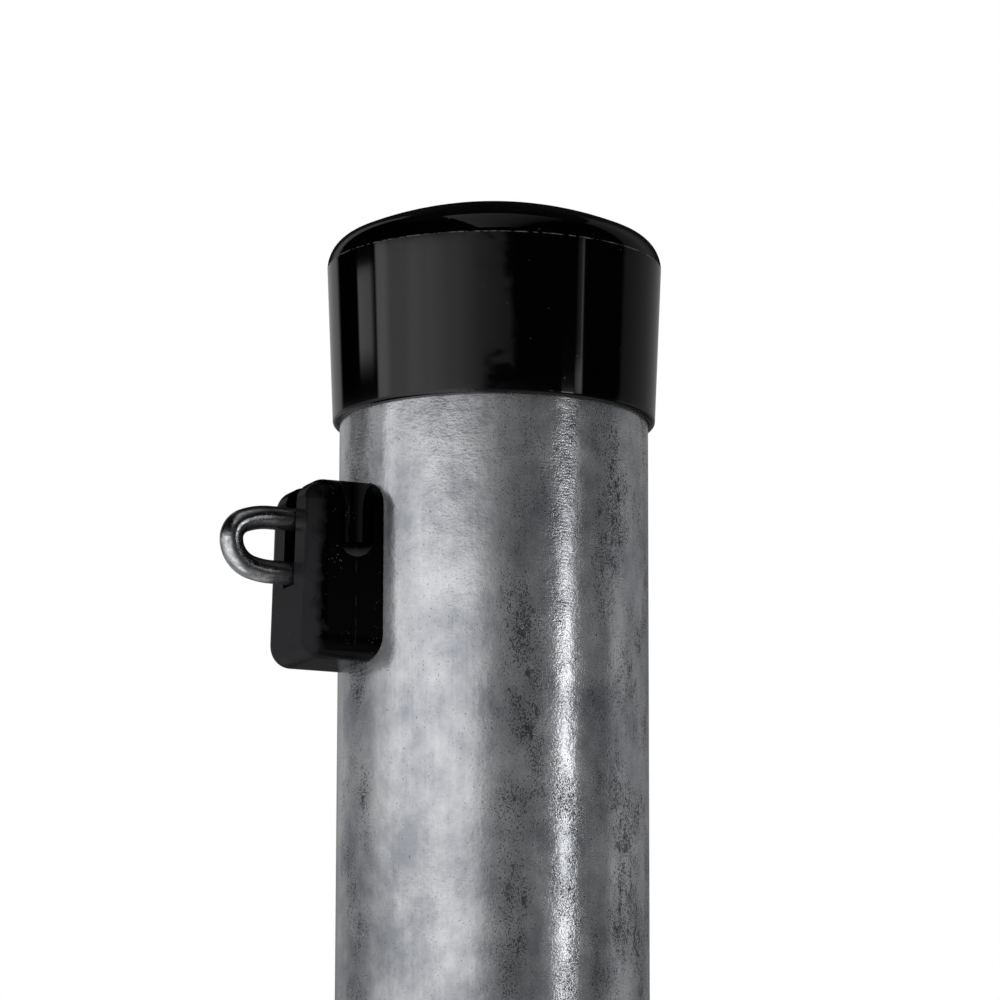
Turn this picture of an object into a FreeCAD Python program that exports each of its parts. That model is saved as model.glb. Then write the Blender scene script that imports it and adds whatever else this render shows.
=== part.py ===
"""Round galvanised fence post with a pressed-on plastic cap and tension-wire clips.

Millimetres, +Z up. The origin is on the tube's axis at its foot. The fence line and its tension
wires run along X, and every clip faces -Y. Each sub-part is written to parts/NODE.step.
"""
import FreeCAD, Part
import math
import os

from FreeCAD import Vector

# Tube: cold-rolled steel, seam-welded
TUBE_OD = 48.0
TUBE_WALL = 1.5
TUBE_LENGTH = 2000.0
WELD_BEAD_WIDTH = 3.0
WELD_BEAD_HEIGHT = 0.5

# Setting: how much of the post goes into the ground, and where the lowest wire runs above it
EMBED_DEPTH = 500.0
LOWEST_WIRE_ABOVE_GROUND = 60.0

# Cap: a moulded cup pushed over the tube's upper end, widest at its mould parting line. Its dome is
# hollow above a narrow ledge, and a push fit holds it with that ledge just short of the tube's end.
CAP_BORE_CLEARANCE = 0.02
CAP_RIM_WALL = 1.05
CAP_SKIRT_HEIGHT = 24.8
CAP_SKIRT_FLARE = 1.05
CAP_SHOULDER_RADIUS = 5.0
CAP_DOME_RADIUS = 56.0
CAP_TOP_WALL = 1.8
CAP_LEDGE_ABOVE_LINE = 2.9
CAP_LEDGE_WIDTH = 2.5
CAP_LEDGE_ABOVE_TUBE = 1.2
CAP_RIM_ROUND = 0.6
CAP_MOUTH_CHAMFER = 0.3

# Clip: a moulded block with rounded edges that sits on the tube
CLIP_HEIGHT = 27.6
CLIP_BELOW_CAP = 12.0
CLIP_WIDTH = 18.0
CLIP_STANDOFF = 10.1
CLIP_FACE_LEAN = 0.8
CLIP_CORNER_RADIUS = 3.8
CLIP_FRONT_ROUND = 3.0
CLIP_SEAT_CLEARANCE = 0.02
SLOT_WIDTH = 4.4
SLOT_DEPTH = 4.0
SLOT_BELOW_EYE = 0.3
GROOVE_DIAMETER = 5.6
GROOVE_LENGTH = 12.2
GROOVE_STANDOFF = 2.7
GROOVE_INSET = 0.3

# Eye: round wire bent to a loop, its two legs clinched inside the tube. Its bends run from the
# upper leg round the nose to the lower leg, each a radius and an angle.
WIRE_DIAMETER = 3.6
EYE_REACH = 21.3
EYE_BENDS = [(11.0, 22.0), (3.1, 68.0), (4.4, 74.0), (12.0, 16.0)]
EYE_UPPER_LEG = 22.1
LEG_HOLE_CLEARANCE = 0.05
TUBE_HOLE_CLEARANCE = 0.15
CLINCH_BEND = 2.2
CLINCH_TAIL = 6.0
CLINCH_GAP = 0.25

# Values worked out from the sizes above
TUBE_R = TUBE_OD / 2
BORE_R = TUBE_R - TUBE_WALL
CAP_BORE_R = TUBE_R + CAP_BORE_CLEARANCE
CAP_LEDGE = CAP_SKIRT_HEIGHT + CAP_LEDGE_ABOVE_LINE
CAP_RIM_Z = TUBE_LENGTH + CAP_LEDGE_ABOVE_TUBE - CAP_LEDGE
SEAT_R = TUBE_R + CLIP_SEAT_CLEARANCE
CLIP_FACE_R = TUBE_R + CLIP_STANDOFF
WIRE_R = WIRE_DIAMETER / 2

TOP_CLIP_Z = CAP_RIM_Z - CLIP_BELOW_CAP - CLIP_HEIGHT
BOTTOM_CLIP_Z = EMBED_DEPTH + LOWEST_WIRE_ABOVE_GROUND - EYE_UPPER_LEG
CLIP_STATIONS = {
    "top": TOP_CLIP_Z,
    "middle": (TOP_CLIP_Z + BOTTOM_CLIP_Z) / 2,
    "bottom": BOTTOM_CLIP_Z,
}


def polar(radius, angle):
    """A point of the horizontal section, with the angle in radians from +X."""
    return Vector(radius * math.cos(angle), radius * math.sin(angle), 0)


def line(a, b):
    return Part.LineSegment(a, b).toShape()


def arc(a, middle, b):
    return Part.Arc(a, middle, b).toShape()


def bend_steps():
    """Each bend of the eye as its radius and its headings before and after, in radians."""
    heading = 0.0
    steps = []
    for radius, angle in EYE_BENDS:
        after = heading + math.radians(angle)
        steps.append((radius, heading, after))
        heading = after
    return steps


def leg_heights():
    """The heights of the eye's two legs above the clip's foot, upper first."""
    drop = sum(radius * (math.cos(start) - math.cos(end)) for radius, start, end in bend_steps())
    return (EYE_UPPER_LEG, EYE_UPPER_LEG - drop)


def make_tube():
    """A round tube with the weld's bead left standing along the inside of its back."""
    half_bead = WELD_BEAD_WIDTH / 2 / BORE_R
    back = math.pi / 2
    bead_from = polar(BORE_R, back - half_bead)
    bead_to = polar(BORE_R, back + half_bead)
    bore = Part.Wire([
        arc(bead_from, polar(BORE_R - WELD_BEAD_HEIGHT, back), bead_to),
        arc(bead_to, polar(BORE_R, -back), bead_from),
    ])
    tube = Part.makeCylinder(TUBE_R, TUBE_LENGTH)
    tube = tube.cut(Part.Face(bore).extrude(Vector(0, 0, TUBE_LENGTH)))
    hole_r = WIRE_R + TUBE_HOLE_CLEARANCE
    for foot in CLIP_STATIONS.values():
        for height in leg_heights():
            mouth = Vector(0, 0, foot + height)
            tube = tube.cut(Part.makeCylinder(hole_r, TUBE_OD, mouth, Vector(0, -1, 0)))
    return tube


def make_cap():
    """The cap's half section, turned about the tube's axis. Its dome runs on from its shoulder."""
    rim_r = CAP_BORE_R + CAP_RIM_WALL
    parting_r = rim_r + CAP_SKIRT_FLARE
    shoulder_r = parting_r - CAP_SHOULDER_RADIUS
    mouth_r = CAP_BORE_R + CAP_MOUTH_CHAMFER
    ledge_r = CAP_BORE_R - CAP_LEDGE_WIDTH
    rim_slant = CAP_RIM_ROUND * math.sqrt(0.5)
    flare_at_round = CAP_SKIRT_FLARE * CAP_RIM_ROUND / CAP_SKIRT_HEIGHT
    dome_edge = math.asin(shoulder_r / (CAP_DOME_RADIUS - CAP_SHOULDER_RADIUS))
    dome_centre = CAP_SKIRT_HEIGHT - shoulder_r / math.tan(dome_edge)
    inner_dome_r = CAP_DOME_RADIUS - CAP_TOP_WALL
    inner_edge = math.asin(ledge_r / inner_dome_r)

    def at(radius, height):
        return Vector(radius, 0, CAP_RIM_Z + height)

    def on_shoulder(angle):
        return at(
            shoulder_r + CAP_SHOULDER_RADIUS * math.sin(angle),
            CAP_SKIRT_HEIGHT + CAP_SHOULDER_RADIUS * math.cos(angle),
        )

    def on_dome(radius, angle):
        return at(radius * math.sin(angle), dome_centre + radius * math.cos(angle))

    section = Part.Wire([
        arc(
            on_dome(inner_dome_r, 0),
            on_dome(inner_dome_r, inner_edge / 2),
            on_dome(inner_dome_r, inner_edge),
        ),
        line(on_dome(inner_dome_r, inner_edge), at(ledge_r, CAP_LEDGE)),
        line(at(ledge_r, CAP_LEDGE), at(CAP_BORE_R, CAP_LEDGE)),
        line(at(CAP_BORE_R, CAP_LEDGE), at(CAP_BORE_R, CAP_MOUTH_CHAMFER)),
        line(at(CAP_BORE_R, CAP_MOUTH_CHAMFER), at(mouth_r, 0)),
        line(at(mouth_r, 0), at(rim_r - CAP_RIM_ROUND, 0)),
        arc(
            at(rim_r - CAP_RIM_ROUND, 0),
            at(rim_r - CAP_RIM_ROUND + rim_slant, CAP_RIM_ROUND - rim_slant),
            at(rim_r + flare_at_round, CAP_RIM_ROUND),
        ),
        line(at(rim_r + flare_at_round, CAP_RIM_ROUND), at(parting_r, CAP_SKIRT_HEIGHT)),
        arc(
            at(parting_r, CAP_SKIRT_HEIGHT),
            on_shoulder(math.pi / 4 + dome_edge / 2),
            on_shoulder(dome_edge),
        ),
        arc(
            on_shoulder(dome_edge),
            on_dome(CAP_DOME_RADIUS, dome_edge / 2),
            on_dome(CAP_DOME_RADIUS, 0),
        ),
        line(on_dome(CAP_DOME_RADIUS, 0), on_dome(inner_dome_r, 0)),
    ])
    return Part.Face(section).revolve(Vector(), Vector(0, 0, 1), 360)


def clip_block():
    """The clip's block: a rounded rectangle from the front, with its leaning front rounded off."""
    half = CLIP_WIDTH / 2
    back_r = math.sqrt(TUBE_R**2 - half**2)
    foot_r = CLIP_FACE_R + CLIP_FACE_LEAN / 2
    head_r = CLIP_FACE_R - CLIP_FACE_LEAN / 2
    profile = Part.makePolygon([
        Vector(-half, -back_r, 0),
        Vector(-half, -foot_r, 0),
        Vector(-half, -head_r, CLIP_HEIGHT),
        Vector(-half, -back_r, CLIP_HEIGHT),
        Vector(-half, -back_r, 0),
    ])
    block = Part.Face(profile).extrude(Vector(CLIP_WIDTH, 0, 0))
    corners = [edge for edge in block.Edges if abs(edge.tangentAt(edge.FirstParameter).y) > 0.99]
    block = block.makeFillet(CLIP_CORNER_RADIUS, corners)
    front = min(block.Faces, key=lambda face: face.CenterOfMass.y)
    return block.makeFillet(CLIP_FRONT_ROUND, front.Edges)


def groove_cutter(side):
    """A round groove down a flank from its top, closed by a ball end."""
    radius = GROOVE_DIAMETER / 2
    centre = Vector(
        side * (CLIP_WIDTH / 2 - GROOVE_INSET),
        -TUBE_R - GROOVE_STANDOFF,
        CLIP_HEIGHT - GROOVE_LENGTH + radius,
    )
    ball = Part.makeSphere(radius, centre)
    return ball.fuse(Part.makeCylinder(radius, GROOVE_LENGTH, centre, Vector(0, 0, 1)))


def make_clip(foot):
    """One clip: the block, cut to sit on the tube, with its slot, grooves and leg holes."""
    slot_foot = leg_heights()[1] - WIRE_R - SLOT_BELOW_EYE
    slot_floor_r = CLIP_FACE_R - SLOT_DEPTH
    slot = Part.makeBox(
        SLOT_WIDTH, 2 * SLOT_DEPTH, CLIP_HEIGHT,
        Vector(-SLOT_WIDTH / 2, -slot_floor_r - 2 * SLOT_DEPTH, slot_foot),
    )
    seat = Part.makeCylinder(SEAT_R, 2 * CLIP_HEIGHT, Vector(0, 0, -CLIP_HEIGHT / 2))
    cuts = [seat, slot, groove_cutter(1), groove_cutter(-1)]
    for height in leg_heights():
        start = Vector(0, 0, height)
        cuts.append(Part.makeCylinder(
            WIRE_R + LEG_HOLE_CLEARANCE, CLIP_FACE_R, start, Vector(0, -1, 0)
        ))
    clip = clip_block().cut(cuts).removeSplitter()
    clip.translate(Vector(0, 0, foot))
    return clip


def make_eye(foot):
    """One eye: wire swept round its bends, its legs and the tails bent over inside the tube."""
    upper, lower = leg_heights()
    tail_r = BORE_R - CLINCH_GAP - WIRE_R
    leg_r = tail_r + CLINCH_BEND
    clinch = CLINCH_BEND * (1 - math.sqrt(0.5))

    def at(radius, height):
        return Vector(0, -radius, foot + height)

    def bent(start, radius, before, heading):
        """Where a wire that leaves a point on one heading is once it has turned to another."""
        return at(
            start[0] + radius * (math.sin(heading) - math.sin(before)),
            start[1] - radius * (math.cos(before) - math.cos(heading)),
        )

    steps = bend_steps()
    to_nose = sum(
        radius * (math.sin(end) - math.sin(start))
        for radius, start, end in steps if end < math.pi / 2 + 0.01
    )
    here = (TUBE_R + EYE_REACH - WIRE_R - to_nose, upper)
    tail_end = at(tail_r, upper + CLINCH_BEND + CLINCH_TAIL)
    edges = [
        line(tail_end, at(tail_r, upper + CLINCH_BEND)),
        arc(at(tail_r, upper + CLINCH_BEND), at(tail_r + clinch, upper + clinch), at(leg_r, upper)),
        line(at(leg_r, upper), at(*here)),
    ]
    for radius, before, after in steps:
        half = bent(here, radius, before, (before + after) / 2)
        end = bent(here, radius, before, after)
        edges.append(arc(at(*here), half, end))
        here = (-end.y, end.z - foot)
    edges += [
        line(at(*here), at(leg_r, lower)),
        arc(at(leg_r, lower), at(tail_r + clinch, lower - clinch), at(tail_r, lower - CLINCH_BEND)),
        line(at(tail_r, lower - CLINCH_BEND), at(tail_r, lower - CLINCH_BEND - CLINCH_TAIL)),
    ]
    section = Part.Wire([Part.Circle(tail_end, Vector(0, 0, 1), WIRE_R).toShape()])
    return Part.Wire(edges).makePipeShell([section], True, False)


def main():
    os.makedirs("parts", exist_ok=True)
    nodes = {"post_tube": make_tube(), "post_cap": make_cap()}
    for station, foot in CLIP_STATIONS.items():
        nodes[f"wire_clip_{station}"] = make_clip(foot)
        nodes[f"wire_eye_{station}"] = make_eye(foot)
    for node, shape in nodes.items():
        shape.exportStep(f"parts/{node}.step")
        box = shape.BoundBox
        print(
            f"{node}: {len(shape.Solids)} solid, {shape.Volume:.1f} mm3, valid {shape.isValid()}, "
            f"{box.XLength:.2f} x {box.YLength:.2f} x {box.ZLength:.2f} mm from z {box.ZMin:.2f}"
        )


main()
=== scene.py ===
# %% [markdown]
# A galvanised fence post, dressed in Blender.
# The real post is a round steel tube dipped in zinc. A black moulded cap closes its upper end, and
# three black moulded clips down its front each hold a bent steel eye for a tension wire.
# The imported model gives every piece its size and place, so this lesson only adds what the eye
# needs: a finer tube, finishes that react to light as the real ones do, and a plain studio.

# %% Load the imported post
import math

import bpy
from mathutils import Matrix, Vector


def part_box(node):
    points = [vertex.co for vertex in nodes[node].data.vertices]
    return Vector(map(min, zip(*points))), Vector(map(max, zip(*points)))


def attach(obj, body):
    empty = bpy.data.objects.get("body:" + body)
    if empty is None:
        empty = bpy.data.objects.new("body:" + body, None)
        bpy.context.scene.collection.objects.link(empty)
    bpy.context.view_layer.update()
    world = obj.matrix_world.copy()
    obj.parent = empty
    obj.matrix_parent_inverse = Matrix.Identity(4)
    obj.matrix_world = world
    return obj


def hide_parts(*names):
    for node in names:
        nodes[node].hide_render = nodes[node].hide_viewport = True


MM = 0.001
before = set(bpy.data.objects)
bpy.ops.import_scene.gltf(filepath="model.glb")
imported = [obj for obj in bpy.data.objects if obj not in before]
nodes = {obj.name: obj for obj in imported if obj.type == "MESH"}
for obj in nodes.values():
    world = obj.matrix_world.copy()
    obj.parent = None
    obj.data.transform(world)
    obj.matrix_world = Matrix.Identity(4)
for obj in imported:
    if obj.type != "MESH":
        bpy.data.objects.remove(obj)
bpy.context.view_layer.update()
print("nodes:", ", ".join(sorted(nodes)))

# %% [markdown]
# Six small helpers serve the finishes. One turns an sRGB hex colour to the linear numbers that a
# shader works in. One adds a node, sets it up and links it, for materials and Geometry Nodes alike.
# One starts a material and hands back what the later cells build on. The last three place a
# pattern on the post: the angle round it, a value that changes with that angle, and a thin line.

# %% Helpers for colours and nodes


def linear(hex_colour):
    """An sRGB hex colour such as "9aa0a6" as linear red, green, blue and alpha."""
    values = [int(hex_colour[i:i + 2], 16) / 255 for i in (0, 2, 4)]
    return [v / 12.92 if v <= 0.04045 else ((v + 0.055) / 1.055) ** 2.4 for v in values] + [1.0]


def add(tree, kind, inputs=None, **settings):
    """Adds a node. inputs gives each socket, by name or number, a value or another node's output."""
    node = tree.nodes.new(kind)
    for name, value in settings.items():
        setattr(node, name, value)
    for key, value in (inputs or {}).items():
        if isinstance(value, bpy.types.NodeSocket):
            tree.links.new(value, node.inputs[key])
        else:
            node.inputs[key].default_value = value
    return node


def start_finish(name):
    """A new material: its node tree, its shader and the Object coordinates that patterns read."""
    finish = bpy.data.materials.new(name)
    finish.use_nodes = True
    tree = finish.node_tree
    place = add(tree, "ShaderNodeTexCoord").outputs["Object"]
    return finish, tree, tree.nodes["Principled BSDF"], place


# The colour sockets of a Mix node, which shares its names with its number and vector sockets
MIX_A, MIX_B, MIX_RESULT = 6, 7, 2


def around(tree, place):
    """The angle round the post's axis in degrees, from the clips' side towards +X."""
    axis = add(tree, "ShaderNodeSeparateXYZ", {0: place}).outputs
    front = add(tree, "ShaderNodeMath", {0: axis["Y"], 1: -1.0}, operation="MULTIPLY").outputs[0]
    turn = add(tree, "ShaderNodeMath", {0: axis["X"], 1: front}, operation="ARCTAN2").outputs[0]
    return add(tree, "ShaderNodeMath", {0: turn}, operation="DEGREES").outputs[0]


def by_angle(tree, angle, stops):
    """A value blended between stops, each an angle and a value, from -180 to 180 degrees."""
    share = add(tree, "ShaderNodeMapRange", {
        "Value": angle, "From Min": -180.0, "From Max": 180.0}).outputs[0]
    ramp = add(tree, "ShaderNodeValToRGB", {0: share})
    elements = ramp.color_ramp.elements
    for at, _ in stops[1:-1]:
        elements.new((at + 180) / 360)
    for element, (_, value) in zip(elements, stops):
        element.color = (value, value, value, 1)
    return ramp.outputs["Color"]


def thread(tree, coordinate, at, width):
    """1 on a thin line where a coordinate has one value, and 0 beyond half a width from it."""
    away = add(tree, "ShaderNodeMath", {0: coordinate, 1: at}, operation="SUBTRACT").outputs[0]
    away = add(tree, "ShaderNodeMath", {0: away}, operation="ABSOLUTE").outputs[0]
    return add(tree, "ShaderNodeMapRange", {
        "Value": away, "From Min": 0.25 * width, "From Max": 0.5 * width,
        "To Min": 1.0, "To Max": 0.0}).outputs[0]


# %% [markdown]
# Hot-dip zinc. The tube is drawn steel that went through a zinc bath, so it is a metal with soft
# pale and grey clouds some millimetres wide, where the zinc froze at different speeds. A thin skin
# of oxide gives it a little plain grey of its own, so it isn't all metal. Fine pits and larger
# ragged marks lie in bands along the tube.
# A photograph could be wrapped round it, but noise in Object coordinates has no seam and no end.
# The clouds tint the metal, the pits darken it, and the grain breaks up its reflections most where
# the pits are.

# %% Finish: hot-dip zinc
CLOUD = 9.0 * MM
MOTTLE = 2.6 * MM
GRAIN = 0.3 * MM
# Lines left by drawing the steel are finer than this, and are as coarse here as they need to show
LINE_WIDTH = 0.5 * MM

zinc, tree, shader, place = start_finish("hot_dip_zinc")
# Patterns are stretched along the tube, where it was drawn, or round it
drawn = add(tree, "ShaderNodeMapping", {"Vector": place, "Scale": (1, 1, 0.8)}).outputs[0]
lengthwise = add(tree, "ShaderNodeMapping", {"Vector": place, "Scale": (1, 1, 0.03)}).outputs[0]
crosswise = add(tree, "ShaderNodeMapping", {"Vector": place, "Scale": (0.25, 0.25, 1)}).outputs[0]

cloud = add(tree, "ShaderNodeTexNoise", {
    "Vector": drawn, "Scale": 1 / CLOUD, "Detail": 3.0, "Roughness": 0.5}).outputs["Fac"]
mottle = add(tree, "ShaderNodeTexNoise", {
    "Vector": drawn, "Scale": 1 / MOTTLE, "Detail": 5.0, "Roughness": 0.65}).outputs["Fac"]
lines = add(tree, "ShaderNodeTexNoise", {
    "Vector": lengthwise, "Scale": 1 / LINE_WIDTH, "Detail": 2.0}).outputs["Fac"]
ticks = add(tree, "ShaderNodeTexNoise", {
    "Vector": crosswise, "Scale": 1 / GRAIN, "Detail": 1.0}).outputs["Fac"]
grain = add(tree, "ShaderNodeTexNoise", {
    "Vector": place, "Scale": 1 / GRAIN, "Detail": 2.0}).outputs["Fac"]
print("zinc: clouds of", CLOUD / MM, "mm, mottle of", MOTTLE / MM, "mm, grain of", GRAIN / MM, "mm")

# %% Zinc: clouds and lines in its colour
CLOUD_SHARE = 0.6
MOTTLE_SHARE = 0.32
LINE_SHARE = 0.08

tone = add(tree, "ShaderNodeMath", {0: cloud, 1: CLOUD_SHARE}, operation="MULTIPLY").outputs[0]
tone = add(tree, "ShaderNodeMath", {
    0: mottle, 1: MOTTLE_SHARE, 2: tone}, operation="MULTIPLY_ADD").outputs[0]
tone = add(tree, "ShaderNodeMath", {
    0: lines, 1: LINE_SHARE, 2: tone}, operation="MULTIPLY_ADD").outputs[0]
tone = add(tree, "ShaderNodeMapRange", {
    "Value": tone, "From Min": 0.38, "From Max": 0.62}).outputs[0]
metal = add(tree, "ShaderNodeMix", {
    0: tone, MIX_A: linear("a2a5ab"), MIX_B: linear("d9dadd")}, data_type="RGBA").outputs[MIX_RESULT]
print("zinc tone:", len(tree.nodes), "nodes so far")

# %% Zinc: pits, thick in some bands and patches
PIT = 0.22 * MM
LARGE_PIT = 0.8 * MM
PIT_PATCH = 6.0 * MM
# How much wider pits open where they are thick, and how dark the pits and their bands are
PIT_SPREAD = 0.2
PIT_DARKNESS = 0.7
BAND_DARKNESS = 0.18
# How pitted the tube is, by angle in degrees from the clips' side
PITTED = [
    (-180, 0.5), (-100, 0.2), (-90, 0.8), (-80, 0.2), (-12, 0.2), (-6, 0.9), (12, 0.9), (18, 0.15),
    (60, 0.15), (75, 1.0), (81, 1.0), (86, 0.5), (90, 0.85), (97, 0.85), (101, 0.3), (107, 0.9),
    (113, 0.95), (146, 0.95), (180, 0.5),
]

streaked = add(tree, "ShaderNodeMapping", {"Vector": place, "Scale": (1, 1, 0.5)}).outputs[0]
patch = add(tree, "ShaderNodeTexNoise", {
    "Vector": streaked, "Scale": 1 / PIT_PATCH, "Detail": 5.0, "Roughness": 0.65}).outputs["Fac"]
patch = add(tree, "ShaderNodeMapRange", {
    "Value": patch, "From Min": 0.42, "From Max": 0.62, "To Min": 0.3, "To Max": 1.1}).outputs[0]
band = by_angle(tree, around(tree, place), PITTED)
density = add(tree, "ShaderNodeMath", {0: band, 1: patch}, operation="MULTIPLY").outputs[0]
specks = add(tree, "ShaderNodeTexNoise", {
    "Vector": drawn, "Scale": 1 / PIT, "Detail": 1.0}).outputs["Fac"]
specks = add(tree, "ShaderNodeMath", {
    0: density, 1: PIT_SPREAD, 2: specks}, operation="MULTIPLY_ADD").outputs[0]
pits = add(tree, "ShaderNodeMapRange", {
    "Value": specks, "From Min": 0.68, "From Max": 0.8}).outputs[0]
marks = add(tree, "ShaderNodeTexNoise", {
    "Vector": streaked, "Scale": 1 / LARGE_PIT, "Detail": 3.0, "Roughness": 0.7}).outputs["Fac"]
marks = add(tree, "ShaderNodeMath", {
    0: density, 1: PIT_SPREAD, 2: marks}, operation="MULTIPLY_ADD").outputs[0]
marks = add(tree, "ShaderNodeMapRange", {
    "Value": marks, "From Min": 0.74, "From Max": 0.82}).outputs[0]
pits = add(tree, "ShaderNodeMath", {0: pits, 1: marks}, operation="MAXIMUM").outputs[0]
print("pits:", PIT / MM, "mm and", LARGE_PIT / MM, "mm, thickest at", max(v for _, v in PITTED))

# %% Zinc: pits and their bands darken the metal
dark = add(tree, "ShaderNodeMath", {0: pits, 1: PIT_DARKNESS}, operation="MULTIPLY").outputs[0]
dark = add(tree, "ShaderNodeMath", {
    0: density, 1: BAND_DARKNESS, 2: dark}, operation="MULTIPLY_ADD").outputs[0]
pitted = add(tree, "ShaderNodeMix", {
    0: dark, MIX_A: metal, MIX_B: linear("3c3d40")}, data_type="RGBA").outputs[MIX_RESULT]
print("zinc colour:", len(tree.nodes), "nodes so far")

# %% Zinc: roughness, relief and shader
PIT_ROUGHNESS = 0.2
GRAIN_HEIGHT = 0.04 * MM
# Heights beside the grain's own in a thick band: the grain elsewhere, the lines and the mottle
CLEAR_GRAIN = 0.07
LINE_RELIEF = 0.05
MOTTLE_RELIEF = 1.6
ZINC_METALLIC = 0.82

rough = add(tree, "ShaderNodeMapRange", {
    "Value": mottle, "From Min": 0.3, "From Max": 0.7, "To Min": 0.13, "To Max": 0.21}).outputs[0]
rough = add(tree, "ShaderNodeMath", {
    0: pits, 1: PIT_ROUGHNESS, 2: rough}, operation="MULTIPLY_ADD").outputs[0]
# Each noise averages a half, so the two less 1 stay level with the wall
relief = add(tree, "ShaderNodeMath", {0: grain, 1: ticks}, operation="ADD").outputs[0]
relief = add(tree, "ShaderNodeMath", {0: relief, 1: -1.0}, operation="ADD").outputs[0]
worn = add(tree, "ShaderNodeMapRange", {
    "Value": density, "To Min": CLEAR_GRAIN, "To Max": 1.0}).outputs[0]
relief = add(tree, "ShaderNodeMath", {0: relief, 1: worn}, operation="MULTIPLY").outputs[0]
relief = add(tree, "ShaderNodeMath", {
    0: lines, 1: LINE_RELIEF, 2: relief}, operation="MULTIPLY_ADD").outputs[0]
relief = add(tree, "ShaderNodeMath", {
    0: mottle, 1: MOTTLE_RELIEF, 2: relief}, operation="MULTIPLY_ADD").outputs[0]
bump = add(tree, "ShaderNodeBump", {
    "Height": relief, "Distance": GRAIN_HEIGHT, "Strength": 1.0}).outputs[0]
tree.links.new(pitted, shader.inputs["Base Color"])
tree.links.new(rough, shader.inputs["Roughness"])
tree.links.new(bump, shader.inputs["Normal"])
shader.inputs["Metallic"].default_value = ZINC_METALLIC
print("finish:", zinc.name)

# %% [markdown]
# The tube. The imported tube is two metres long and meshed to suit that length, so its round wall
# shows flats close up. A Geometry Nodes tree makes it again at the same sizes: a ring that a
# rounded wall section is swept round, with the weld's bead pushed into the inner wall at the back
# and the holes for the eyes' legs cut through the front. Every size is an input of the tree.

# %% Helpers for Geometry Nodes
SMOOTH_BELOW = math.radians(12)


def start_tree(name, sizes):
    """An empty Geometry Nodes tree with a named number for each size, and its input node."""
    tree = bpy.data.node_groups.new(name, "GeometryNodeTree")
    for size in sizes:
        tree.interface.new_socket(name=size, in_out="INPUT", socket_type="NodeSocketFloat")
    tree.interface.new_socket(name="Mesh", in_out="OUTPUT", socket_type="NodeSocketGeometry")
    return tree, add(tree, "NodeGroupInput").outputs


def close_tree(tree, geometry, finish):
    """Ends a tree: realised, with its material, smooth across edges that turn by a few degrees."""
    geometry = add(tree, "GeometryNodeRealizeInstances", {0: geometry}).outputs[0]
    turn = add(tree, "GeometryNodeInputMeshEdgeAngle").outputs["Unsigned Angle"]
    gentle = add(tree, "FunctionNodeCompare", {0: turn, 1: SMOOTH_BELOW}, operation="LESS_THAN")
    geometry = add(tree, "GeometryNodeSetShadeSmooth", {
        "Geometry": geometry, "Shade Smooth": gentle.outputs[0]}, domain="EDGE").outputs[0]
    geometry = add(tree, "GeometryNodeSetMaterial", {
        "Geometry": geometry, "Material": finish}).outputs[0]
    add(tree, "NodeGroupOutput", {0: geometry})


def grow(name, tree, sizes):
    """A plain mesh object made by a tree at the given sizes."""
    piece = bpy.data.objects.new(name, bpy.data.meshes.new(name))
    bpy.context.scene.collection.objects.link(piece)
    modifier = piece.modifiers.new(name, "NODES")
    modifier.node_group = tree
    for item in tree.interface.items_tree:
        if item.in_out == "INPUT":
            modifier[item.identifier] = sizes[item.name]
    evaluated = piece.evaluated_get(bpy.context.evaluated_depsgraph_get())
    mesh = bpy.data.meshes.new_from_object(evaluated)
    piece.modifiers.clear()
    piece.data = mesh
    return piece


# %% The tube's sizes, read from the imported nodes
STATIONS = ("bottom", "middle", "top")
tube_low, tube_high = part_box("post_tube")
clip_feet = [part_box(f"wire_clip_{station}")[0].z for station in STATIONS]
clip_spacing = clip_feet[1] - clip_feet[0]
TUBE = {
    "Outer Radius": tube_high.x,
    "Wall": 1.5 * MM,
    "Length": tube_high.z - tube_low.z,
    "Edge Round": 0.25 * MM,
    "Bead Width": 3.0 * MM,
    "Bead Height": 0.5 * MM,
    "Hole Radius": 1.95 * MM,
    "Lowest Clip": clip_feet[0],
    "Clip Spacing": clip_spacing,
    "Upper Leg": 22.1 * MM,
    "Lower Leg": 13.73 * MM,
}
TUBE_SIDES = 320
tree, size = start_tree("zinc_tube", TUBE)
half_wall = add(tree, "ShaderNodeMath", {0: size["Wall"], 1: 0.5}, operation="MULTIPLY").outputs[0]
middle = add(tree, "ShaderNodeMath", {
    0: size["Outer Radius"], 1: half_wall}, operation="SUBTRACT").outputs[0]
half_length = add(tree, "ShaderNodeMath", {0: size["Length"], 1: 0.5}, operation="MULTIPLY").outputs[0]
print("tube sizes in mm:", {name: round(value / MM, 2) for name, value in TUBE.items()})

# %% The tube's wall, swept round a ring
ring = add(tree, "GeometryNodeCurvePrimitiveCircle", {
    "Resolution": TUBE_SIDES, "Radius": middle}, mode="RADIUS").outputs["Curve"]
section = add(tree, "GeometryNodeCurvePrimitiveQuadrilateral", {
    "Width": size["Wall"], "Height": size["Length"]}, mode="RECTANGLE").outputs[0]
section = add(tree, "GeometryNodeFilletCurve", {
    "Curve": section, "Count": 3, "Radius": size["Edge Round"]}, mode="POLY").outputs[0]
wall = add(tree, "GeometryNodeCurveToMesh", {"Curve": ring, "Profile Curve": section}).outputs[0]
lift = add(tree, "ShaderNodeCombineXYZ", {"Z": half_length}).outputs[0]
wall = add(tree, "GeometryNodeTransform", {"Geometry": wall, "Translation": lift}).outputs[0]
print("wall:", TUBE_SIDES, "sides round")

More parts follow.
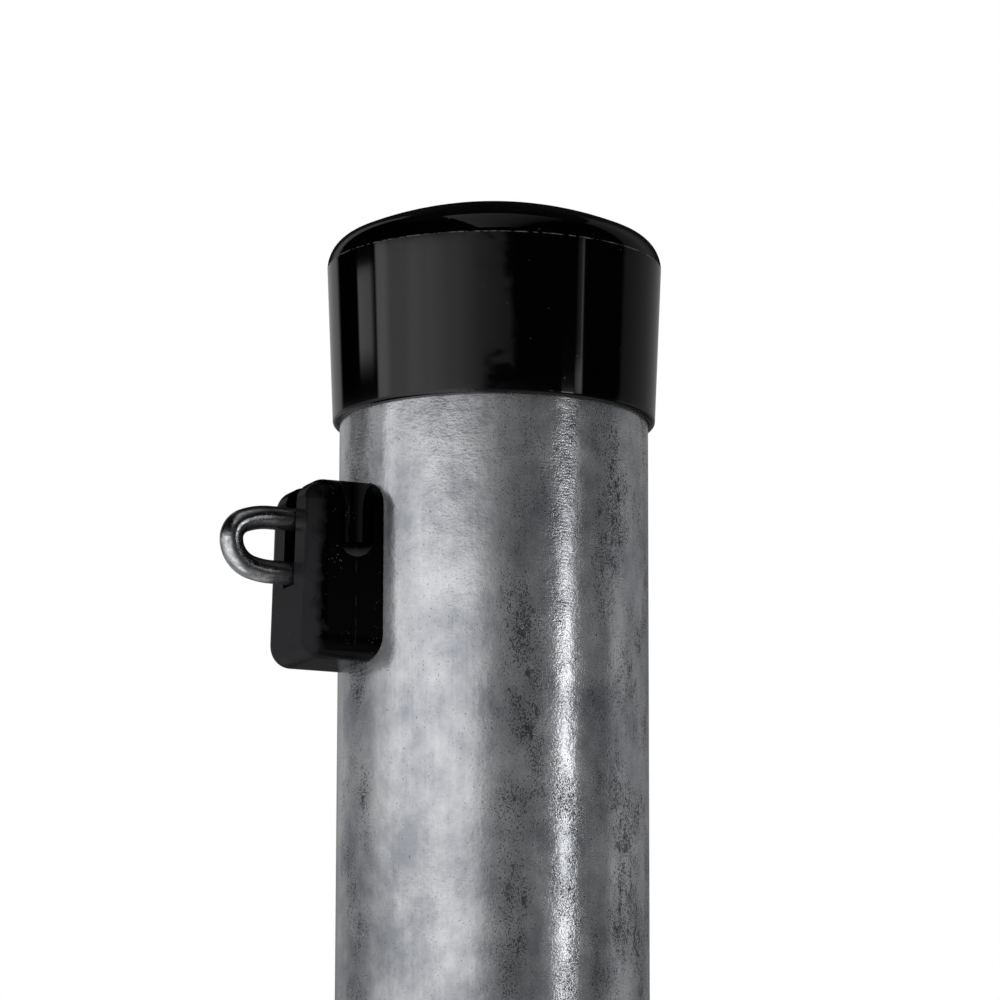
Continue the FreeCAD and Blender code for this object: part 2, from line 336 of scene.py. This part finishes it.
# %% The weld's bead, pushed in where the inner wall passes the back
where = add(tree, "GeometryNodeInputPosition").outputs[0]
axis = add(tree, "ShaderNodeSeparateXYZ", {0: where}).outputs
flat = add(tree, "ShaderNodeCombineXYZ", {"X": axis["X"], "Y": axis["Y"]}).outputs[0]
reach = add(tree, "ShaderNodeVectorMath", {0: flat}, operation="LENGTH").outputs["Value"]
inner = add(tree, "FunctionNodeCompare", {0: reach, 1: middle}, operation="LESS_THAN").outputs[0]
behind = add(tree, "FunctionNodeCompare", {0: axis["Y"], 1: 0.0}, operation="GREATER_THAN").outputs[0]
at_bead = add(tree, "FunctionNodeBooleanMath", {0: inner, 1: behind}, operation="AND").outputs[0]
# The bead's section is a parabola, 1 at its middle and 0 at half its width to each side
across = add(tree, "ShaderNodeMath", {
    0: axis["X"], 1: size["Bead Width"]}, operation="DIVIDE").outputs[0]
across = add(tree, "ShaderNodeMath", {0: across, 1: across}, operation="MULTIPLY").outputs[0]
crown = add(tree, "ShaderNodeMath", {
    0: across, 1: -4.0, 2: 1.0}, operation="MULTIPLY_ADD", use_clamp=True).outputs[0]
push = add(tree, "ShaderNodeMath", {0: crown, 1: size["Bead Height"]}, operation="MULTIPLY").outputs[0]
push = add(tree, "ShaderNodeMath", {0: push, 1: -1.0}, operation="MULTIPLY").outputs[0]
inwards = add(tree, "ShaderNodeCombineXYZ", {"Y": push}).outputs[0]
wall = add(tree, "GeometryNodeSetPosition", {
    "Geometry": wall, "Selection": at_bead, "Offset": inwards}).outputs[0]
print("tube tree:", len(tree.nodes), "nodes so far")

# %% The holes for the eyes' legs, cut at each clip
DRILL_SIDES = 48
DRILL_DEPTH = 6.0 * MM

front = add(tree, "ShaderNodeMath", {0: middle, 1: -1.0}, operation="MULTIPLY").outputs[0]
step = add(tree, "ShaderNodeCombineXYZ", {"Z": size["Clip Spacing"]}).outputs[0]
drill = add(tree, "GeometryNodeMeshCylinder", {
    "Vertices": DRILL_SIDES, "Radius": size["Hole Radius"], "Depth": DRILL_DEPTH}).outputs["Mesh"]
drills = add(tree, "GeometryNodeJoinGeometry")
for leg in ("Upper Leg", "Lower Leg"):
    height = add(tree, "ShaderNodeMath", {
        0: size["Lowest Clip"], 1: size[leg]}, operation="ADD").outputs[0]
    lowest = add(tree, "ShaderNodeCombineXYZ", {"Y": front, "Z": height}).outputs[0]
    column = add(tree, "GeometryNodeMeshLine", {
        "Count": len(clip_feet), "Start Location": lowest, "Offset": step}, mode="OFFSET").outputs[0]
    placed = add(tree, "GeometryNodeInstanceOnPoints", {
        "Points": column, "Instance": drill, "Rotation": (math.radians(90), 0, 0)}).outputs[0]
    tree.links.new(placed, drills.inputs[0])
drills = add(tree, "GeometryNodeRealizeInstances", {0: drills.outputs[0]}).outputs[0]
wall = add(tree, "GeometryNodeMeshBoolean", {
    "Mesh 1": wall, "Mesh 2": drills}, operation="DIFFERENCE", solver="EXACT").outputs[0]
close_tree(tree, wall, zinc)

tube = grow("zinc_tube", tree, TUBE)
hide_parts("post_tube")
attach(tube, "root")
print("tube:", len(tube.data.polygons), "faces,", [round(n / MM, 2) for n in tube.dimensions])

# %% [markdown]
# Gloss black cap plastic. The cap is moulded in a polished steel tool, so it mirrors the studio
# sharply, and its own colour hardly shows. The plastic shrinks as it cools, so on one side, where
# the wall sank, the mirror is wavy. Where the two halves of the mould met, a thread of flash is
# left round the widest line, painted pale partly as whitened plastic and partly as a painted
# highlight that its thin ridge catches. A few specks of dust break the gloss.

# %% Finish: gloss cap plastic
SINK = 6.0 * MM
SINK_HEIGHT = 0.06 * MM
SPECK_SPACING = 3.0 * MM
LINE_ABOVE_RIM = 24.8 * MM
FLASH_WIDTH = 0.2 * MM
FLASH_BREAK = 1.0 * MM
CAP_ROUGHNESS = 0.05
PALE_ROUGHNESS = 0.4
PLASTIC_IOR = 1.5

# How sunken the wall is, by angle in degrees from the clips' side
SUNKEN = [(-180, 0.02), (52, 0.02), (60, 0.8), (82, 1.0), (90, 0.1), (110, 0.02), (180, 0.02)]

cap_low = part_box("post_cap")[0]
cap_plastic, tree, shader, place = start_finish("gloss_polyethylene")
upright = add(tree, "ShaderNodeSeparateXYZ", {0: place}).outputs["Z"]
sink = add(tree, "ShaderNodeTexNoise", {
    "Vector": place, "Scale": 1 / SINK, "Detail": 2.0, "Roughness": 0.4}).outputs["Fac"]
sink = add(tree, "ShaderNodeMath", {0: sink, 1: -0.5}, operation="ADD").outputs[0]
sunken = by_angle(tree, around(tree, place), SUNKEN)
sink = add(tree, "ShaderNodeMath", {0: sink, 1: sunken}, operation="MULTIPLY").outputs[0]
bump = add(tree, "ShaderNodeBump", {
    "Height": sink, "Distance": SINK_HEIGHT, "Strength": 1.0}).outputs[0]
print("cap's rim at", round(cap_low.z / MM, 1), "mm")

# %% Cap plastic: its flash line with a painted highlight, and dust
# The flash line is painted pale, as whitened plastic and as a painted highlight on its thin ridge
flash_and_painted_highlight = thread(tree, upright, cap_low.z + LINE_ABOVE_RIM, FLASH_WIDTH)
breaks = add(tree, "ShaderNodeTexNoise", {
    "Vector": place, "Scale": 1 / FLASH_BREAK, "Detail": 2.0}).outputs["Fac"]
breaks = add(tree, "ShaderNodeMapRange", {
    "Value": breaks, "From Min": 0.38, "From Max": 0.6}).outputs[0]
flash_and_painted_highlight = add(tree, "ShaderNodeMath", {0: flash_and_painted_highlight, 1: breaks}, operation="MULTIPLY").outputs[0]
cells = add(tree, "ShaderNodeTexVoronoi", {
    "Vector": place, "Scale": 1 / SPECK_SPACING}).outputs["Distance"]
specks = add(tree, "ShaderNodeMapRange", {
    "Value": cells, "From Min": 0.02, "From Max": 0.05, "To Min": 0.5, "To Max": 0.0}).outputs[0]
pale = add(tree, "ShaderNodeMath", {0: flash_and_painted_highlight, 1: specks}, operation="MAXIMUM").outputs[0]
colour = add(tree, "ShaderNodeMix", {
    0: pale, MIX_A: linear("020202"), MIX_B: linear("4c4c4e")}, data_type="RGBA").outputs[MIX_RESULT]
rough = add(tree, "ShaderNodeMath", {
    0: pale, 1: PALE_ROUGHNESS, 2: CAP_ROUGHNESS}, operation="MULTIPLY_ADD").outputs[0]
tree.links.new(colour, shader.inputs["Base Color"])
tree.links.new(rough, shader.inputs["Roughness"])
tree.links.new(bump, shader.inputs["Normal"])
shader.inputs["IOR"].default_value = PLASTIC_IOR
nodes["post_cap"].material_slots[0].material = cap_plastic
print("finish:", cap_plastic.name)

# %% [markdown]
# Satin black clip plastic. The clips come from a plainer mould than the cap, and they have been
# handled. Their flanks are still black. Their fronts and rounded corners are painted grey, partly by
# wear and partly as a painted reflection of the soft light; the grey is painted strongest low down,
# while the upper front on the -X side is kept black as painted shade. Dust lies in patches, faces
# that look up below the top are painted pale as a painted highlight, and a faint mould line runs
# down each flank. The plastic has little shine.
# The three clips share one finish, so height is counted from each clip's own foot.

# %% Finish: satin clip plastic
SKIN = 0.5 * MM
WEAR_PATCH = 3.5 * MM
# Height is counted from a little below each foot, so that rounding can't put a foot at the top
COUNT_BELOW_FOOT = 10.0 * MM

clip_plastic, tree, shader, place = start_finish("satin_polyamide")
axis = add(tree, "ShaderNodeSeparateXYZ", {0: place}).outputs
below_foot = clip_feet[0] - COUNT_BELOW_FOOT
height = add(tree, "ShaderNodeMath", {0: axis["Z"], 1: below_foot}, operation="SUBTRACT").outputs[0]
height = add(tree, "ShaderNodeMath", {
    0: height, 1: clip_spacing}, operation="MODULO").outputs[0]
height = add(tree, "ShaderNodeMath", {
    0: height, 1: COUNT_BELOW_FOOT}, operation="SUBTRACT").outputs[0]
skin = add(tree, "ShaderNodeTexNoise", {
    "Vector": place, "Scale": 1 / SKIN, "Detail": 3.0}).outputs["Fac"]
patches = add(tree, "ShaderNodeTexNoise", {
    "Vector": place, "Scale": 1 / WEAR_PATCH, "Detail": 4.0, "Roughness": 0.6}).outputs["Fac"]
print("clips' feet in mm:", [round(foot / MM, 1) for foot in clip_feet])

# %% Clip plastic: worn fronts, with a painted reflection and painted shade
# Each pair is where a change begins and where it is complete
WEAR_AND_REFLECTION_FROM_Y = (-31.8 * MM, -33.4 * MM)
WEAR_AND_PAINTED_LIGHT_FROM_TOP = (26.0 * MM, 12.0 * MM)
PAINTED_SHADE_FROM_X = (0.5 * MM, -0.5 * MM)
PAINTED_SHADE_FROM_FOOT = (12.0 * MM, 16.0 * MM)
RAGGED_BY = 6.0 * MM

ragged = add(tree, "ShaderNodeMath", {0: patches, 1: -0.5}, operation="ADD").outputs[0]
ragged = add(tree, "ShaderNodeMath", {
    0: ragged, 1: RAGGED_BY, 2: axis["Y"]}, operation="MULTIPLY_ADD").outputs[0]
# The front and its rounded corners: their grey is wear and a painted reflection of the soft light
worn = add(tree, "ShaderNodeMapRange", {
    "Value": ragged, "From Min": WEAR_AND_REFLECTION_FROM_Y[0], "From Max": WEAR_AND_REFLECTION_FROM_Y[1]}).outputs[0]
# Painted light: the grey is strongest low down and weaker up top, where the front lies in shade
wear_and_painted_light_low_down = add(tree, "ShaderNodeMapRange", {
    "Value": height, "From Min": WEAR_AND_PAINTED_LIGHT_FROM_TOP[0], "From Max": WEAR_AND_PAINTED_LIGHT_FROM_TOP[1],
    "To Min": 0.25, "To Max": 1.0}).outputs[0]
worn = add(tree, "ShaderNodeMath", {0: worn, 1: wear_and_painted_light_low_down}, operation="MULTIPLY").outputs[0]
# Painted shade: the upper front on the -X side stays black
far_side = add(tree, "ShaderNodeMapRange", {
    "Value": axis["X"], "From Min": PAINTED_SHADE_FROM_X[0], "From Max": PAINTED_SHADE_FROM_X[1]}).outputs[0]
painted_shade_upper_far = add(tree, "ShaderNodeMapRange", {
    "Value": height, "From Min": PAINTED_SHADE_FROM_FOOT[0], "From Max": PAINTED_SHADE_FROM_FOOT[1]}).outputs[0]
painted_shade_upper_far = add(tree, "ShaderNodeMath", {0: far_side, 1: painted_shade_upper_far}, operation="MULTIPLY").outputs[0]
worn = add(tree, "ShaderNodeMath", {
    0: worn, 1: painted_shade_upper_far}, operation="SUBTRACT", use_clamp=True).outputs[0]
print("clip wear:", len(tree.nodes), "nodes so far")

# %% Clip plastic: dust, the mould line and a painted highlight on ledges
DUST_SPACING = 0.55 * MM
MOULD_LINE_Y = -26.7 * MM
MOULD_LINE_WIDTH = 0.2 * MM
PAINTED_HIGHLIGHT_BELOW = 22.0 * MM

cells = add(tree, "ShaderNodeTexVoronoi", {
    "Vector": place, "Scale": 1 / DUST_SPACING}).outputs["Distance"]
dust = add(tree, "ShaderNodeMapRange", {
    "Value": cells, "From Min": 0.08, "From Max": 0.22, "To Min": 0.35, "To Max": 0.0}).outputs[0]
dusty = add(tree, "ShaderNodeMapRange", {
    "Value": patches, "From Min": 0.56, "From Max": 0.68}).outputs[0]
dust = add(tree, "ShaderNodeMath", {0: dust, 1: dusty}, operation="MULTIPLY").outputs[0]
seam = thread(tree, axis["Y"], MOULD_LINE_Y, MOULD_LINE_WIDTH)
broken = add(tree, "ShaderNodeMapRange", {
    "Value": patches, "From Min": 0.45, "From Max": 0.6, "To Min": 0.0, "To Max": 0.08}).outputs[0]
pale = add(tree, "ShaderNodeMath", {
    0: seam, 1: broken, 2: dust}, operation="MULTIPLY_ADD").outputs[0]
# Painted highlight: faces that look up, below the top, are painted pale
facing = add(tree, "ShaderNodeNewGeometry").outputs["Normal"]
upwards = add(tree, "ShaderNodeSeparateXYZ", {0: facing}).outputs["Z"]
painted_highlight_on_ledges = add(tree, "ShaderNodeMapRange", {
    "Value": upwards, "From Min": 0.3, "From Max": 0.7, "To Min": 0.0, "To Max": 0.2}).outputs[0]
below_top = add(tree, "ShaderNodeMath", {
    0: height, 1: PAINTED_HIGHLIGHT_BELOW}, operation="LESS_THAN").outputs[0]
painted_highlight_on_ledges = add(tree, "ShaderNodeMath", {0: painted_highlight_on_ledges, 1: below_top}, operation="MULTIPLY").outputs[0]
pale = add(tree, "ShaderNodeMath", {0: pale, 1: painted_highlight_on_ledges}, operation="MAXIMUM").outputs[0]
# Black, greyed on the fronts by wear and by a painted reflection
worn_and_reflection_grey = add(tree, "ShaderNodeMix", {
    0: worn, MIX_A: linear("020202"), MIX_B: linear("212124")}, data_type="RGBA").outputs[MIX_RESULT]
colour = add(tree, "ShaderNodeMix", {
    0: pale, MIX_A: worn_and_reflection_grey, MIX_B: linear("77787b")}, data_type="RGBA").outputs[MIX_RESULT]
print("clip colour:", len(tree.nodes), "nodes so far")

# %% Clip plastic: shine, skin and shader
FRESH_ROUGHNESS = 0.1
WORN_ROUGHNESS = 0.35
SKIN_HEIGHT = 0.006 * MM
CLIP_SHINE = 0.08

rough = add(tree, "ShaderNodeMath", {
    0: worn, 1: WORN_ROUGHNESS, 2: FRESH_ROUGHNESS}, operation="MULTIPLY_ADD").outputs[0]
bump = add(tree, "ShaderNodeBump", {
    "Height": skin, "Distance": SKIN_HEIGHT, "Strength": 1.0}).outputs[0]
tree.links.new(colour, shader.inputs["Base Color"])
tree.links.new(rough, shader.inputs["Roughness"])
tree.links.new(bump, shader.inputs["Normal"])
shader.inputs["IOR"].default_value = PLASTIC_IOR
shader.inputs["Specular IOR Level"].default_value = CLIP_SHINE
for station in STATIONS:
    nodes[f"wire_clip_{station}"].material_slots[0].material = clip_plastic
print("finish:", clip_plastic.name)

# %% [markdown]
# Drawn steel wire. The eyes are bent from bright drawn wire that has been scratched and stained by
# handling, so the metal has dark patches, and streaks along the wire that are dull or bright.

# %% Finish: drawn steel wire
STREAK = 0.35 * MM
STREAK_HEIGHT = 0.006 * MM
STAIN = 2.5 * MM

wire_steel, tree, shader, place = start_finish("drawn_steel_wire")
stretched = add(tree, "ShaderNodeMapping", {"Vector": place, "Scale": (1, 0.25, 0.6)}).outputs[0]
streaks = add(tree, "ShaderNodeTexNoise", {
    "Vector": stretched, "Scale": 1 / STREAK, "Detail": 3.0}).outputs["Fac"]
stains = add(tree, "ShaderNodeTexNoise", {
    "Vector": place, "Scale": 1 / STAIN, "Detail": 3.0}).outputs["Fac"]
tone = add(tree, "ShaderNodeMath", {0: streaks, 1: stains}, operation="MULTIPLY").outputs[0]
tone = add(tree, "ShaderNodeMapRange", {
    "Value": tone, "From Min": 0.15, "From Max": 0.35}).outputs[0]
metal = add(tree, "ShaderNodeMix", {
    0: tone, MIX_A: linear("9d9ea2"), MIX_B: linear("dcdddf")}, data_type="RGBA").outputs[MIX_RESULT]
rough = add(tree, "ShaderNodeMapRange", {
    "Value": streaks, "From Min": 0.3, "From Max": 0.7, "To Min": 0.34, "To Max": 0.18}).outputs[0]
bump = add(tree, "ShaderNodeBump", {
    "Height": streaks, "Distance": STREAK_HEIGHT, "Strength": 1.0}).outputs[0]
tree.links.new(metal, shader.inputs["Base Color"])
tree.links.new(rough, shader.inputs["Roughness"])
tree.links.new(bump, shader.inputs["Normal"])
shader.inputs["Metallic"].default_value = 1.0
for station in STATIONS:
    nodes[f"wire_eye_{station}"].material_slots[0].material = wire_steel
print("finish:", wire_steel.name)

# %% [markdown]
# The camera. It stands below the cap and looks up a little, from the front right of the clips, with
# a long lens that hardly narrows the tube. Its angles and distance come from fitting the tube's
# edges, the cap's rim and the clip in the photograph, which is 1000 pixels square.

# %% Camera
CAMERA_AZIMUTH = math.radians(66.0)
CAMERA_REACH = 792.3 * MM
CAMERA_BELOW_RIM = 167.7 * MM
CAMERA_PITCH = math.radians(11.14)
CAMERA_ROLL = math.radians(0.14)
FOCAL_PIXELS = 5200.0
IMAGE_PIXELS = 1000.0
AXIS_LEFT_PIXELS = 6.5

aim = CAMERA_AZIMUTH - math.atan(AXIS_LEFT_PIXELS / FOCAL_PIXELS)
level = Vector((-math.sin(aim), math.cos(aim), 0))
forward = level * math.cos(CAMERA_PITCH) + Vector((0, 0, math.sin(CAMERA_PITCH)))
right = forward.cross(Vector((0, 0, 1))).normalized()
upward = right.cross(forward)
rolled_right = right * math.cos(CAMERA_ROLL) + upward * math.sin(CAMERA_ROLL)
rolled_up = upward * math.cos(CAMERA_ROLL) - right * math.sin(CAMERA_ROLL)
turn = Matrix((rolled_right, rolled_up, -forward)).transposed()

lens = bpy.data.cameras.new("studio_camera")
lens.sensor_width = 36.0
lens.lens = lens.sensor_width * FOCAL_PIXELS / IMAGE_PIXELS
camera = bpy.data.objects.new("studio_camera", lens)
camera.location = (
    CAMERA_REACH * math.sin(CAMERA_AZIMUTH),
    -CAMERA_REACH * math.cos(CAMERA_AZIMUTH),
    cap_low.z - CAMERA_BELOW_RIM,
)
camera.rotation_euler = turn.to_euler()
bpy.context.scene.collection.objects.link(camera)
bpy.context.scene.camera = camera
print("camera at", [round(n, 3) for n in camera.location])

# %% [markdown]
# The studio. A white world of strength 1 lights everything plainly, and is the white background.
# Metal and gloss need something to mirror. Lamps would do, but they show as spots, so a drum of
# tall cards stands round the post: a large soft light on the left, a narrow strip light on the
# right, dark cards between them and grey ones towards the back. They are plainer down by the foot,
# and beside the cap the soft light has a ragged edge, which the gloss shows. Cameras and plain
# light pass through the cards, and only mirrors see them.

# %% World and floor
world = bpy.data.worlds.new("white_studio")
world.use_nodes = True
world.node_tree.nodes["Background"].inputs["Color"].default_value = (1, 1, 1, 1)
world.node_tree.nodes["Background"].inputs["Strength"].default_value = 1.0
bpy.context.scene.world = world

FLOOR_HALF = 40.0
CORNERS = ((-1, -1), (1, -1), (1, 1), (-1, 1))
floor_mesh = bpy.data.meshes.new("studio_floor")
corners = [(x * FLOOR_HALF, y * FLOOR_HALF, 0) for x, y in CORNERS]
floor_mesh.from_pydata(corners, [], [(0, 1, 2, 3)])
floor = bpy.data.objects.new("studio_floor", floor_mesh)
bpy.context.scene.collection.objects.link(floor)
paint, _, shader, _ = start_finish("floor_paint")
shader.inputs["Base Color"].default_value = linear("ececec")
shader.inputs["Roughness"].default_value = 0.9
floor_mesh.materials.append(paint)
print("floor:", 2 * FLOOR_HALF, "m wide")

# %% The lights among the cards
# Angles in degrees from the camera's own direction, positive to its right, each with a brightness
SOFT_LIGHT = [
    (-106, 0.3), (-97, 0.42), (-88, 0.62), (-80, 0.82), (-73, 0.98), (-64, 1.08), (-45, 1.15),
    (-28, 1.12), (-15, 0.9), (-8, 0.5), (-2, 0.22), (6, 0.1), (14, 0.045),
]
SOFT_LIGHT_TOP = [
    (-88, 0.0), (-86, 1.2), (-80, 1.3), (-74, 0.85), (-63, 0.92), (-57, 1.08), (-54, 1.1),
    (-47, 0.98), (-44, 1.02), (-34, 0.82), (-32, 0.74), (-24, 0.68), (-21, 0.6), (-10, 0.36),
]
STRIP_LIGHT = [(30, 0.04), (49, 0.25), (50, 3.4), (55.5, 3.4), (56.5, 0.25), (64, 0.02)]
STRIP_LIGHT_TOP = [(57, 0.0), (59, 0.15), (61, 0.3), (62, 1.0), (63, 0.0)]
STRIP_LIGHT_FOOT = [(56.5, 0.0), (58, 0.7), (62, 1.4), (63.5, 0.0)]
print("soft light from", SOFT_LIGHT[0][0], "to", SOFT_LIGHT[-1][0], "degrees")

# %% The rows of cards, from the floor up
DIMMED = 0.62
FOOT = [(-180, 0.4), (-122, 0.35)] + SOFT_LIGHT[:-2] + [(30, 0.25), (120, 0.4), (180, 0.4)]
BELOW = [(-180, 0.05), (-160, 0.1), (-146, 0.45), (-122, 0.28)] + SOFT_LIGHT + [
    (30, 0.02), (180, 0.05),
]
LOW = [(-180, 0.2), (-160, 0.3), (-146, 0.45), (-135, 0.36), (-122, 0.28)] + SOFT_LIGHT
LOW += STRIP_LIGHT + [(92, 0.03), (96, 0.31), (108, 0.29), (120, 0.2), (150, 0.15), (180, 0.15)]
DIM_LOW = [(angle, value * DIMMED if angle < 0 else value) for angle, value in LOW]
HIGH = [
    (-180, 0.004), (-152, 0.02), (-142, 0.25), (-136, 0.25), (-131, 0.0), (97, 0.0), (101, 0.1),
    (130, 0.15), (150, 0.02), (180, 0.004),
]

# Beside the cap: height in metres, the angle of the soft light's ragged right edge, and the side light
UPPER = [
    (2.026, -3, 0.0), (2.0314, -3, 0.0), (2.0327, 1, 0.15), (2.0339, 4, 0.3), (2.0355, 15, 0.6),
    (2.0379, 17, 0.85), (2.0402, 14, 0.85), (2.0471, 14, 0.85), (2.0495, 13, 0.85),
    (2.0548, 10, 0.85), (2.0566, 9, 0.0), (2.0615, 8, 0.0),
]
STRIP_FOOT_BELOW = 2.033
EDGE_WIDTH = 4
EDGE_GLOW = 0.2


def upper_row(edge, side, strip):
    """A row of cards beside the cap, with the soft light's right edge and the side light given."""
    left = [(-180, 0.45), (-137, 0.4), (-132, 0.0)]
    side_light = [(-107, 0.0), (-105, side), (-93, side), (-90, 0.3 * side)]
    soft_light = SOFT_LIGHT_TOP + [(edge - EDGE_WIDTH, EDGE_GLOW), (edge, 0.0)]
    return left + side_light + soft_light + strip + [(96, 0.0), (100, 0.1), (130, 0.16), (180, 0.35)]


# %% The height of each row, in metres
BASE_Z = 0.001
LID_Z = 2.6
ROWS = [
    (BASE_Z, FOOT), (1.4, FOOT), (1.8, BELOW), (1.86, BELOW), (1.925, DIM_LOW), (1.975, LOW),
    (2.02, LOW),
]
for z, edge, side in UPPER:
    strip = STRIP_LIGHT_FOOT if z < STRIP_FOOT_BELOW else STRIP_LIGHT_TOP
    ROWS.append((z, upper_row(edge, side, strip)))
ROWS += [(2.063, HIGH), (LID_Z, HIGH)]
# The cap's wall leans out less to the sides, so there the upper rows stand higher
RISE = 0.041
RISING = (2.01, 2.1)
print("cards:", len(ROWS), "rows")

# %% The drum that carries the cards
DRUM_RADIUS = 0.42
STEPS_ROUND = 720


def brightness(cards, angle):
    """How bright a row of cards is at an angle, blended between the ones listed."""
    for (first, a), (last, b) in zip(cards, cards[1:]):
        if first <= angle <= last:
            return a + (b - a) * (angle - first) / (last - first)
    return 0.0


angles = [360 * n / STEPS_ROUND - 180 for n in range(STEPS_ROUND + 1)]
points, values, faces = [], [], []
for z, cards in ROWS:
    for angle in angles:
        bearing = CAMERA_AZIMUTH + math.radians(angle)
        rise = RISE * (1 - math.cos(math.radians(angle / 2))) if RISING[0] < z < RISING[1] else 0
        points.append((DRUM_RADIUS * math.sin(bearing), -DRUM_RADIUS * math.cos(bearing), z + rise))
        values.append(brightness(cards, angle))
for row in range(len(ROWS) - 1):
    for n in range(STEPS_ROUND):
        a = row * len(angles) + n
        faces.append((a, a + 1, a + 1 + len(angles), a + len(angles)))
drum_mesh = bpy.data.meshes.new("studio_cards")
drum_mesh.from_pydata(points, [], faces)
drum_mesh.attributes.new("glow", "FLOAT", "POINT").data.foreach_set("value", values)

card_finish = bpy.data.materials.new("studio_card")
card_finish.use_nodes = True
tree = card_finish.node_tree
tree.nodes.clear()
lit = add(tree, "ShaderNodeAttribute", attribute_name="glow").outputs["Fac"]
shine = add(tree, "ShaderNodeEmission", {"Strength": lit}).outputs[0]
add(tree, "ShaderNodeOutputMaterial", {"Surface": shine})
drum_mesh.materials.append(card_finish)

# %% The lid and base of the drum, and one dim overhead light
LID_GLOW = 0.01
BASE_GLOW = 0.25
LAMP_GLOW = (0.42, 0.03)
LAMP_Z = 2.2
LAMP_CENTRE = (0.02, 0.22)
LAMP_HALF = (0.1, 0.19)


def level_card(name, centre, half, height, left, right):
    """A level card, turned to the camera, with its glow blended from its left to its right edge."""
    x_way = Vector((math.cos(CAMERA_AZIMUTH), math.sin(CAMERA_AZIMUTH), 0))
    y_way = Vector((math.sin(CAMERA_AZIMUTH), -math.cos(CAMERA_AZIMUTH), 0))
    mesh = bpy.data.meshes.new(name)
    spots = [
        x_way * (centre[0] + x * half[0]) + y_way * (centre[1] + y * half[1]) + Vector((0, 0, height))
        for x, y in CORNERS
    ]
    mesh.from_pydata(spots, [], [(0, 1, 2, 3)])
    mesh.attributes.new("glow", "FLOAT", "POINT").data.foreach_set("value", [left, right, right, left])
    mesh.materials.append(card_finish)
    return bpy.data.objects.new(name, mesh)


drum_half = (DRUM_RADIUS, DRUM_RADIUS)
cards = [
    bpy.data.objects.new("studio_cards", drum_mesh),
    level_card("studio_lid", (0, 0), drum_half, LID_Z, LID_GLOW, LID_GLOW),
    level_card("studio_base", (0, 0), drum_half, BASE_Z, BASE_GLOW, BASE_GLOW),
    level_card("studio_overhead", LAMP_CENTRE, LAMP_HALF, LAMP_Z, *LAMP_GLOW),
]
for card in cards:
    bpy.context.scene.collection.objects.link(card)
    card.visible_camera = False
    card.visible_diffuse = False
    card.visible_shadow = False
print("cards:", len(faces), "in the drum")

# %% [markdown]
# Last, the Standard view keeps each colour as it was written.

# %% Finish
bpy.context.scene.view_settings.view_transform = "Standard"
